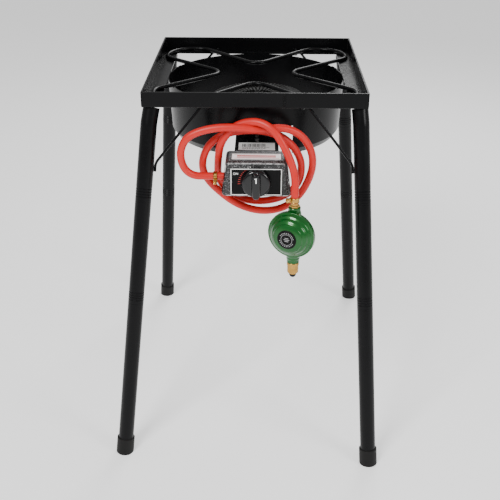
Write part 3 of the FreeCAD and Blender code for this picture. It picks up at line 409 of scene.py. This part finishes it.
def tube(path, radius, segments=12, ripple=None, capped=True):
    """A round bar along points in metres; ripple scales the radius by the millimetres run."""
    rings = []
    run = 0
    side = None
    for index, place in enumerate(path):
        ahead = path[min(index + 1, len(path) - 1)] - path[max(index - 1, 0)]
        ahead.normalize()
        if side is None:
            side, _ = basis(ahead)
        side = (side - ahead * side.dot(ahead)).normalized()
        other = ahead.cross(side)
        if index:
            run += (place - path[index - 1]).length / MM
        reach = radius * (ripple(run) if ripple else 1) * MM
        rings.append([place + (side * math.cos(angle) + other * math.sin(angle)) * reach
                      for angle in [2 * math.pi * step / segments for step in range(segments)]])
    return skin(rings, capped)


def weld(start, end, radius, bow=Vector()):
    """A bead of overlapping puddles between two points, in metres, with a slight uneven line."""
    length = (end - start).length / MM
    count = max(8, int(length * 2.5))
    path = []
    for index in range(count + 1):
        share = index / count
        path.append(start.lerp(end, share) + bow * math.sin(math.pi * share) + Vector(
            [draw.uniform(-0.1, 0.1) * MM for _ in range(3)]))

    def puddle(run):
        end_fade = min(1, 0.35 + min(run, length - run) / (radius * 1.5)) if length > 0 else 1
        return end_fade * (0.84 + 0.16 * abs(math.sin(run * math.pi / (radius * 0.9))))

    return tube(path, radius, 10, puddle)


def hexagon(angle, radius=0, distance=0):
    """Scales a radius so that a round outline becomes six flats."""
    step = math.pi / 3
    return math.cos(step / 2) / math.cos(angle % step - step / 2)


def hex_bolt(place, axis, shank, across, head, length, turn=0.3):
    """A hex head with its washer and a threaded shank; the head is on the far side of the axis."""
    wide = across / math.sqrt(3)
    tall = head
    rim, flank = wide * 1.25, wide * 1.18
    washer = turned([(0, 0.9), (flank, 0.9), (rim, 0.7), (rim, 0.1), (flank, 0), (0, 0)], place, axis, 40)

    def six(angle, radius, distance):
        return hexagon(angle + turn) if distance < tall + 0.5 else 1

    outline = [(0, 0.9), (wide, 0.9), (wide, tall + 0.3), (wide * 0.86, tall + 0.9), (0, tall + 0.9)]
    top = turned(outline, place, axis, 48, six)
    pitch = shank * 0.33
    thread = [(0, 0)]
    for index in range(int(length / pitch)):
        thread += [(shank, -index * pitch), (shank * 0.86, -(index + 0.5) * pitch)]
    thread += [(shank * 0.8, -length), (0, -length)]
    return [washer, top, turned(thread, place, axis, 24)]


def lettering(text, middle, across, up, tall, thick=0.12):
    """Flat letters as a shape, their middle at a point; tall in millimetres."""
    data = bpy.data.curves.new(text, "FONT")
    data.body = text
    data.size = 1
    data.resolution_u = 3
    data.extrude = 0.001
    holder = bpy.data.objects.new(text, data)
    mesh = bpy.data.meshes.new_from_object(holder)
    xs = [vertex.co.x for vertex in mesh.vertices]
    ys = [vertex.co.y for vertex in mesh.vertices]
    scale = tall / (max(ys) - min(ys))
    shift_x, shift_y = (max(xs) + min(xs)) / 2, (max(ys) + min(ys)) / 2
    out = across.cross(up)
    points = []
    for vertex in mesh.vertices:
        x, y = (vertex.co.x - shift_x) * scale, (vertex.co.y - shift_y) * scale
        lift = thick / 2 if vertex.co.z > 0 else -thick / 2
        points.append(middle + (across * x + up * y + out * lift) * MM)
    faces = [tuple(face.vertices) for face in mesh.polygons]
    bpy.data.objects.remove(holder)
    bpy.data.meshes.remove(mesh)
    return points, faces


def centre(node):
    low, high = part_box(node)
    return (low + high) / 2


# ---------------------------------------------------------------- materials in use
PAINT = stove_paint()
IRON = cast_iron()
HAMMERED = hammered_paint()
KNOB = knob_plastic()
DIAL = dial_black()
BRASS = brass()
ZINC = zinc()
# painted-highlight finish for the top and bottom of the box rim
RIM_HIGHLIGHT = rim_highlight_paint()
RED = red_rubber()
RUBBER = black_rubber()
GREEN = green_enamel()
WHITE_INK = print_ink("white_ink", (0.97, 0.97, 0.95), (0.88, 0.88, 0.86))
RED_INK = print_ink("red_ink", (0.6, 0.03, 0.02), (0.4, 0.02, 0.015))
SILVER_INK = print_ink("silver_ink", (0.5, 0.5, 0.5), (0.3, 0.3, 0.31))

SLOT_FINISH = {
    "black_paint": PAINT,
    "cast_iron": IRON,
    "hammered_paint": HAMMERED,
    "knob_plastic": KNOB,
    "black_plate": DIAL,
    "brass": BRASS,
    "zinc_steel": ZINC,
    "red_rubber": RED,
    "black_rubber": RUBBER,
    "green_paint": GREEN,
    "white_label": WHITE_INK,
}


def dress_nodes():
    """Every node that stays gets the finish of its slot."""
    slots = {entry["node"]: entry["material_slot"] for entry in frame["record"]["subparts"]}
    for name, piece in frame["nodes"].items():
        finish = SLOT_FINISH[slots[name]]
        piece.data.materials.clear()
        piece.data.materials.append(finish)


# ---------------------------------------------------------------- hose
# the centreline that the model's hose follows, in metres
HOSE_ROUTE = [
    (-0.050, -0.206, 0.568),
    (-0.084, -0.206, 0.568),
    (-0.108, -0.210, 0.569),
    (-0.124, -0.213, 0.580),
    (-0.132, -0.215, 0.600),
    (-0.132, -0.216, 0.621),
    (-0.124, -0.217, 0.640),
    (-0.110, -0.217, 0.652),
    (-0.084, -0.217, 0.661),
    (-0.054, -0.217, 0.665),
    (-0.025, -0.217, 0.664),
    (-0.003, -0.213, 0.660),
    (0.018, -0.208, 0.658),
    (0.042, -0.202, 0.660),
    (0.066, -0.196, 0.654),
    (0.087, -0.191, 0.639),
    (0.103, -0.187, 0.613),
    (0.108, -0.182, 0.582),
    (0.101, -0.176, 0.548),
    (0.085, -0.172, 0.515),
    (0.060, -0.169, 0.490),
    (0.028, -0.167, 0.480),
    (-0.004, -0.166, 0.482),
    (-0.037, -0.167, 0.496),
    (-0.064, -0.169, 0.519),
    (-0.085, -0.174, 0.543),
    (-0.095, -0.180, 0.566),
    (-0.096, -0.184, 0.587),
    (-0.090, -0.186, 0.608),
    (-0.079, -0.186, 0.625),
    (-0.061, -0.186, 0.638),
    (-0.038, -0.185, 0.646),
    (-0.008, -0.184, 0.649),
    (0.022, -0.184, 0.647),
    (0.053, -0.184, 0.635),
    (0.074, -0.182, 0.613),
    (0.086, -0.178, 0.587),
    (0.087, -0.172, 0.559),
    (0.080, -0.165, 0.533),
    (0.062, -0.157, 0.510),
    (0.038, -0.151, 0.497),
    (0.010, -0.149, 0.492),
    (-0.018, -0.149, 0.495),
    (-0.042, -0.151, 0.507),
    (-0.060, -0.156, 0.527),
    (-0.069, -0.164, 0.551),
    (-0.068, -0.175, 0.575),
    (-0.066, -0.188, 0.600),
    (-0.062, -0.198, 0.625),
    (-0.051, -0.203, 0.646),
    (-0.034, -0.204, 0.663),
    (-0.014, -0.208, 0.672),
    (0.008, -0.216, 0.675),
    (0.028, -0.225, 0.668),
    (0.043, -0.231, 0.652),
    (0.056, -0.235, 0.629),
    (0.067, -0.239, 0.604),
    (0.073, -0.243, 0.580),
    (0.073, -0.250, 0.557),
    (0.073, -0.250, 0.536),
]
HOSE_DIAMETER = 0.014


def make_hose():
    data = bpy.data.curves.new("gas_hose", "CURVE")
    data.dimensions = "3D"
    data.bevel_depth = HOSE_DIAMETER / 2
    data.bevel_resolution = 8
    data.resolution_u = 8
    data.use_fill_caps = True
    line = data.splines.new("NURBS")
    line.points.add(len(HOSE_ROUTE) - 1)
    for point, place in zip(line.points, HOSE_ROUTE):
        point.co = (*place, 1)
    line.order_u = 3
    line.use_endpoint_u = True
    data.materials.append(RED)
    hose = bpy.data.objects.new("gas_hose", data)
    bpy.context.scene.collection.objects.link(hose)
    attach(hose, "root")
    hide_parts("hose")
    return hose


def hose_ends(hose):
    """The first and last points of the hose's own line, and the way it leaves each."""
    points = [Vector(point.co[:3]) for point in hose.data.splines[0].points]
    first_way = (points[1] - points[0]).normalized()
    last_way = (points[-1] - points[-2]).normalized()
    return (points[0], first_way), (points[-1], last_way)


def clamp(name, place, axis, wide, ear, node):
    """Brass ear clamp: a band with rolled edges, a pinched ear and a short screw through it."""
    radius = HOSE_DIAMETER / 2 / MM
    half = wide / 2
    band = [(radius + 0.05, -half), (radius + 1.5, -half), (radius + 1.8, -half + 0.5),
            (radius + 1.2, -half + 1.2), (radius + 1.2, half - 1.2), (radius + 1.8, half - 0.5),
            (radius + 1.5, half), (radius + 0.05, half)]
    shapes = [turned(band, place, axis, 64, closed=True)]
    side = (ear - axis * axis.dot(ear)).normalized()
    across = axis.cross(side)
    turn = Matrix((side, across, axis)).transposed()
    for sign in (-1, 1):
        cheek = place + (side * (radius + 5) + across * sign * 1.6) * MM
        shapes.append(block(cheek, (9, 1.2, wide * 0.9), 0.5, turn))
    shapes += hex_bolt(place + (side * (radius + 6) + across * 2.2) * MM, across, 1.6, 5.4, 2, 10)
    return piece(name, shapes, BRASS, "brass", replaces=[node])


# ---------------------------------------------------------------- regulator
def make_regulator():
    """Green shells with pressed ridges, plain round badge, necks and brass fittings."""
    badge_middle = centre("regulator_badge")
    turn = math.radians(23)
    facing = Vector((-math.sin(turn), -math.cos(turn), 0))
    middle = badge_middle - facing * 24.25 * MM
    cover = curved([[0, 23.2], [18.6, 23.2], (20.8, 22.7), (24.5, 21.7), [27.4, 20.4], (28.3, 18.7),
                    [30.4, 17.3], (32.6, 15.8), [34.4, 13.6], (35.5, 11.2), [37.6, 9.6], (39.4, 8.2),
                    [40.7, 5.6], [42.8, 4.9], (44.3, 4.4), [44.5, 3.6], [44.5, 0.5], [0, 0.5]], 4)
    shell = piece("regulator_dome", [turned(cover, middle, facing, 112)], GREEN, "green_paint",
                  replaces=["regulator_cover"])
    rear = curved([[0, 20.6], [16, 20.6], (24, 18.4), [29, 15.5], (32, 12.5), [35, 9.5], (38.6, 7),
                   [40.5, 4.8], [42.8, 4.4], (44.3, 4), [44.5, 3.4], [44.5, 0.5], [0, 0.5]], 4)
    shapes = [turned(rear, middle, -facing, 112)]
    low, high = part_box("regulator_body")
    tail = centre("regulator_outlet_tail")
    axis = Vector((tail.x, tail.y, middle.z))
    up_long = (high.z - middle.z) / MM
    down_long = (middle.z - low.z) / MM
    upper = curved([[0, 20], [12.5, 20], (12.8, 34), (12.2, 40), [11.2, 43], [11.2, up_long - 1],
                    [10.4, up_long], [0, up_long]], 4)
    lower = curved([[0, 20], [15, 20], (14.9, 40), (14.4, 46), [12.6, 50], [12.6, 54], [11.6, 55.5],
                    [11.6, down_long - 0.8], [10.8, down_long], [0, down_long]], 4)
    shapes += [turned(upper, axis, UP, 64), turned(lower, axis, -UP, 64)]
    back = piece("regulator_shell", shapes, GREEN, "green_paint", replaces=["regulator_body"])
    disc = curved([[0, 0], [17.9, 0], (18, 0.5), [17.4, 1.1], [16.6, 1.1], [16.3, 0.8], [15.9, 0.8],
                   [15.6, 1.1], [0, 1.1]], 3)
    plate = turned(disc, badge_middle - facing * 0.5 * MM, facing, 80)
    badge = piece("badge_disc", [plate], DIAL, "black_plate", replaces=["regulator_badge"])
    across = UP.cross(facing).normalized()
    face = badge_middle + facing * 0.62 * MM
    marks = [turned([(10.2, 0), (10.2, 0.12), (10.7, 0.12), (10.7, 0)], face, facing, 64, closed=True)]
    for index in range(3):
        marks.append(flat(face + UP * (3 - 3 * index) * MM, across, UP, (7, 11, 7)[index], 1.1))
    for index in range(24):
        turn_mark = math.radians(15 * index)
        if index % 12 not in (0, 11):
            out = across * math.cos(turn_mark) + UP * math.sin(turn_mark)
            marks.append(flat(face + out * 13.2 * MM, out, facing.cross(out), 1.7, 1.3))
    print_marks = piece("badge_print", marks, SILVER_INK, "white_label")
    outlet_low, outlet_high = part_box("regulator_outlet_tail")
    tall = (outlet_high.z - outlet_low.z) / MM
    start = Vector((tail.x, tail.y, outlet_low.z))
    barb = [(0, 0), (9.6, 0), (9.6, 3.6), (8.8, 4.2), (7.2, 4.4), (7.2, tall), (0, tall)]

    def wrench_flats(angle, radius, distance):
        return hexagon(angle) if radius > 8 else 1

    outlet = piece("outlet_fitting", [turned(barb, start, UP, 60, wrench_flats)], BRASS, "brass",
                   replaces=["regulator_outlet_tail"])
    return [shell, back, badge, print_marks, outlet] + make_inlet()


def make_inlet():
    """Swivel nut with grip grooves on the stem, and the soft nose below it."""
    low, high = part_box("swivel_nut")
    middle = (low + high) / 2
    top = Vector((middle.x, middle.y, high.z))
    tall = (high.z - low.z) / MM
    grip = curved([[5.1, 0], [10.8, 0], (11.4, -0.6), [11.4, -1.2], [11.4, -5.4], (11.0, -6.2), [10.4, -6.4],
                   [10.4, -tall + 1.6], [9.4, -tall], [7.5, -tall], [7.5, -tall + 3.5],
                   [5.1, -tall + 3.5]], 3)

    def grooves(angle, radius, distance):
        return 1 - 0.035 * (max(0, math.cos(angle * 22)) ** 3) * (radius > 10.2 and distance < -6.3)

    nut = piece("inlet_nut", [turned(grip, top, UP, 176, grooves, closed=True)], BRASS, "brass", "swivel_nut",
                replaces=["swivel_nut"])
    nose_top = Vector((middle.x, middle.y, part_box("inlet_nose")[1].z))
    tip = curved([[0, 0], [6.4, 0], (6.6, -1), (6.5, -3), [6, -4.4], (5.3, -6), [4.4, -7], [0, -7]], 4)
    nose = piece("soft_nose", [turned(tip, nose_top, UP, 48)], RUBBER, "black_rubber",
                 replaces=["inlet_nose"])
    return [nut, nose]


# ---------------------------------------------------------------- control box
def make_dial():
    """White frame, word and red and white graduations printed on the dial plate."""
    low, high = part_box("dial_plate")
    middle = Vector(((low.x + high.x) / 2, low.y - 0.05 * MM, (low.z + high.z) / 2))
    right = Vector((1, 0, 0))
    marks = []
    wide, tall, line = 90.4, 49.6, 1.5
    for sign in (-1, 1):
        marks.append(flat(middle + UP * sign * tall / 2 * MM, right, UP, wide, line))
        marks.append(flat(middle + right * sign * wide / 2 * MM, right, UP, line, tall + line))
    marks.append(lettering("ON", middle + (right * -37 + UP * 16) * MM, right, UP, 4.2))
    for angle in (110, 118):
        marks.append(radial_mark(middle, right, angle, 29.5, 2.2, 0.9))
    piece("dial_print", marks, WHITE_INK, "white_label")
    marks = []
    for index in range(9):
        marks.append(radial_mark(middle, right, 126 + 7.5 * index, 28.6, 1.2 + 0.42 * index, 1.1))
    piece("dial_graduations", marks, RED_INK, "white_label")


def radial_mark(middle, right, angle, inner, long, wide):
    """A short printed dash that points away from the knob."""
    turn = math.radians(angle)
    out = right * math.cos(turn) + UP * math.sin(turn)
    return flat(middle + out * (inner + long / 2) * MM, out, FRONT.cross(out), long, wide)


def make_rim():
    """Rolled rim round the front of the box; its top and bottom runs carry a painted highlight broken into
    silver patches.
    """
    low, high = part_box("control_housing")
    middle = (low.x + high.x) / 2
    inset, top_half, low_half = 3.2, 55, 63.5
    corners = [(-low_half + inset, -68 + inset), (low_half - inset, -68 + inset), (top_half - inset, -inset),
               (-top_half + inset, -inset)]
    runs = []
    for index, corner in enumerate(corners):
        before, after = Vector(corners[index - 1]), Vector(corners[(index + 1) % 4])
        here = Vector(corner)
        first = here + (before - here).normalized() * 6
        last = here + (after - here).normalized() * 6
        run = []
        for step in range(9):
            share = step / 8
            point = first * (1 - share) ** 2 + here * 2 * share * (1 - share) + last * share ** 2
            run.append(Vector((middle + point.x * MM, low.y + 0.9 * MM, high.z + point.y * MM)))
        runs.append(run)
    # top and bottom runs take the painted-highlight finish; the side runs keep the plain hammered paint
    lower = runs[0][4:] + runs[1][:5]
    upper = runs[2][4:] + runs[3][:5]
    piece("box_rim_painted_highlight", [tube(lower, 1.2, 12), tube(upper, 1.5, 12)], RIM_HIGHLIGHT, "hammered_paint")
    right = runs[1][4:] + runs[2][:5]
    left = runs[3][4:] + runs[0][:5]
    piece("box_rim_sides", [tube(right, 1.2, 12), tube(left, 1.2, 12)], HAMMERED, "hammered_paint")


def make_knob():
    """Round skirt with a moulded grip bar and a white pointer line."""
    low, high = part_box("control_knob")
    base = Vector(((low.x + high.x) / 2, high.y, (low.z + high.z) / 2))
    right = Vector((1, 0, 0))
    skirt = curved([[3.2, 0.4], [18, 0.4], [22.6, 0], [25.2, 0], (25.9, 0.6), (26, 3), (25.5, 6.2),
                    (24.6, 7.6), (22.6, 8.7), (19, 9.3), [3.2, 9.5]], 4)
    layers = [(6.6, 20, 50), (8.4, 18, 49.6), (10.4, 16.4, 49.2), (14, 15.2, 48.8), (18, 14.4, 48.2),
              (20.4, 13.4, 47.4), (21.4, 11.8, 45.8), (21.9, 9.4, 43), (22, 4, 36)]
    grip = stacked(layers, base, right, UP, 3.6)
    piece("knob_moulding", [turned(skirt, base, FRONT, 112), grip], KNOB, "knob_plastic", "knob", 40,
          replaces=["control_knob"])
    face = base + FRONT * 22.05 * MM
    pointer = [flat(face + UP * 13 * MM, right, UP, 2, 9.6),
               flat(face + (UP * 16.6 + right * -1.7) * MM, right, UP, 2, 1.6)]
    piece("knob_pointer", pointer, WHITE_INK, "white_label", "knob")


def make_labels():
    """Plain printed stickers: stripes on the box, a bar pattern with small lines on the bracket."""
    low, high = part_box("housing_label")
    right, back = Vector((1, 0, 0)), Vector((0, 1, 0))
    middle = Vector(((low.x + high.x) / 2, (low.y + high.y) / 2, high.z + 0.05 * MM))
    marks = [flat(middle + back * row * MM, right, back, wide, tall)
             for row, wide, tall in ((8.6, 80, 1), (2.4, 70, 6), (-4.6, 70, 2.4), (-8.8, 80, 1))]
    piece("box_label_print", marks, RED_INK, "white_label")
    low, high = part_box("bracket_label")
    middle = Vector(((low.x + high.x) / 2, (low.y + high.y) / 2, high.z + 0.05 * MM))
    marks = []
    x = -27.0
    while x < 16:
        wide = draw.choice((0.5, 0.8, 1.2))
        marks.append(flat(middle + (right * x + back * 5) * MM, right, back, wide, 16))
        x += wide + draw.choice((0.6, 0.9, 1.3))
    for row in range(4):
        x = -27.0
        while x < 22 - row * 4:
            wide = draw.uniform(2, 6)
            spot = middle + (right * (x + wide / 2) + back * (-6.5 - row * 3)) * MM
            marks.append(flat(spot, right, back, wide, 1.1))
            x += wide + 1
    piece("bracket_label_print", marks, DIAL, "black_plate")


# ---------------------------------------------------------------- fasteners and welds
def make_fasteners():
    low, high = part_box("stay_bolts")
    shapes = []
    for x in (low.x + 4.25 * MM, high.x - 4.25 * MM):
        for y in (low.y + 4.25 * MM, high.y - 4.25 * MM):
            head = Vector((x, y, low.z + 3.5 * MM))
            shapes += hex_bolt(head, -UP, 2.5, 7.6, 2.6, 11.5, draw.uniform(0, 1))
            nut = [(0, 5.5), (4.4, 5.5), (4.4, 8.6), (3.8, 9.2), (0, 9.2)]
            shapes.append(turned(nut, head, UP, 48, hexagon))
    piece("stay_fasteners", shapes, PAINT, "black_paint", replaces=["stay_bolts"])
    low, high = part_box("burner_bolts")
    shapes = []
    for x in (low.x + 5.1 * MM, high.x - 5.1 * MM):
        for y in (low.y + 5.1 * MM, high.y - 5.1 * MM):
            shapes += hex_bolt(Vector((x, y, low.z + 4 * MM)), -UP, 3, 9, 3.1, 12, draw.uniform(0, 1))
    piece("burner_fasteners", shapes, ZINC, "zinc_steel", replaces=["burner_bolts"])


def make_welds():
    """Beads on the rim seams, the rail corners, under the rest and where legs and guard meet the frame."""
    low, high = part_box("front_rail")
    top, bottom = high.z, low.z
    front = low.y
    half = -front
    flange = bottom + 3 * MM
    inner = half - 0.03
    seam_x, seam_y = 0.052, front - 0.2 * MM
    beads = [weld(Vector((seam_x, seam_y, flange)), Vector((seam_x, seam_y, top - 0.6 * MM)), 1.7)]
    beads.append(weld(Vector((0.004, inner + 1 * MM, flange)), Vector((0.004, half - 3.5 * MM, flange)), 1.6))
    for x in (-1, 1):
        for y in (-1, 1):
            outer = Vector((x * (half - 3.6 * MM), y * (half - 3.6 * MM), flange))
            beads.append(weld(Vector((x * inner, y * inner, flange)), outer, 1.6))
            beads.append(weld(outer, outer + UP * 23 * MM, 1.5))
    rest_low, rest_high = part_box("pot_rest")
    line = rest_high.x - 4 * MM
    bar = rest_low.z + 0.6 * MM
    reach = Vector((0, 9 * MM, 0))
    loop_middle = 0.128
    for turn in range(4):
        angle = math.pi / 2 * turn
        spin = Matrix.Rotation(angle, 3, "Z")
        for shift in (-loop_middle, loop_middle):
            for side in (-1, 1):
                place = Vector((line + side * 3.2 * MM, shift, bar))
                beads.append(weld(spin @ (place - reach), spin @ (place + reach), 1.7))
    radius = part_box("wind_guard")[1].x
    for index in range(8):
        middle = math.radians(22.5 + 45 * index)
        if abs(math.degrees(middle) - 270) > 20:
            arc = []
            for step in range(-3, 4):
                heading = middle + math.radians(step)
                x, y = math.cos(heading) * radius, math.sin(heading) * radius
                arc.append(Vector((x, y, bottom - 0.4 * MM)))
            beads.append(tube(arc, 1.6, 10, lambda run: 0.85 + 0.15 * abs(math.sin(run * 2))))
    piece("weld_beads", beads, PAINT, "black_paint")


# ---------------------------------------------------------------- studio
def make_studio():
    floor_mesh = bpy.data.meshes.new("floor")
    reach = 9
    corners = [(-reach, -reach, 0), (reach, -reach, 0), (reach, reach, 0), (-reach, reach, 0)]
    floor_mesh.from_pydata(corners, [], [(0, 1, 2, 3)])
    floor = bpy.data.objects.new("floor", floor_mesh)
    bpy.context.scene.collection.objects.link(floor)
    finish = Finish("studio_floor", roughness=0.9, specular_ior_level=0.1)
    dapple = finish.noise(0.6, 2)
    finish.set("Base Color", finish.mix(dapple, (0.84, 0.84, 0.84), (0.88, 0.88, 0.88)))
    finish.set("Emission Color", finish.mix(dapple, (0.98, 0.98, 0.98), (1, 1, 1)))
    finish.set("Emission Strength", 0.5)
    floor.data.materials.append(finish.material)
    world = bpy.data.worlds.new("studio")
    bpy.context.scene.world = world
    world.use_nodes = True
    sky = world.node_tree.nodes["Background"]
    sky.inputs[0].default_value = (1, 1, 1, 1)
    sky.inputs[1].default_value = 0.55
    add_light("key", (-1.1, -1.9, 2.4), (0, 0, 0.5), 0.9, 66)
    add_light("fill", (1.8, -1.4, 1.5), (0, 0, 0.5), 0.8, 22)
    add_light("rim", (0.5, 1.7, 2.0), (0, 0, 0.6), 1.0, 30)


def add_light(name, place, target, side, power):
    data = bpy.data.lights.new(name, "AREA")
    data.shape = "SQUARE"
    data.size = side
    data.energy = power
    lamp = bpy.data.objects.new(name, data)
    lamp.location = place
    aim = Vector(target) - Vector(place)
    lamp.rotation_euler = aim.to_track_quat("-Z", "Y").to_euler()
    bpy.context.scene.collection.objects.link(lamp)


def make_camera():
    data = bpy.data.cameras.new("camera")
    data.sensor_width = 36
    data.lens = 59.21
    data.clip_end = 50
    camera = bpy.data.objects.new("camera", data)
    heading = Matrix.Rotation(math.radians(0.883), 4, "Z")
    nod = Matrix.Rotation(math.radians(90 - 27.99), 4, "X")
    roll = Matrix.Rotation(math.radians(0.155), 4, "Z")
    camera.matrix_world = Matrix.Translation((0.01375, -1.5918, 1.1523)) @ heading @ nod @ roll
    bpy.context.scene.collection.objects.link(camera)
    bpy.context.scene.camera = camera


make_camera()
make_studio()
dress_nodes()
hose = make_hose()
(box_end, box_way), (regulator_end, regulator_way) = hose_ends(hose)
on_hose = make_regulator()
box_grip = box_end + box_way * 21 * MM
regulator_grip = regulator_end - regulator_way * 6 * MM
on_hose.append(clamp("box_clamp", box_grip, box_way, 7, Vector((0, -1, -0.8)), "inlet_hose_clamp"))
on_hose.append(clamp("regulator_clamp", regulator_grip, regulator_way, 9, Vector((-1, -0.4, 0)),
                     "regulator_hose_clamp"))
on_hose += [frame["nodes"][name] for name in ("regulator_diaphragm", "inlet_stem")]
make_dial()
make_rim()
make_knob()
make_labels()
make_fasteners()
make_welds()
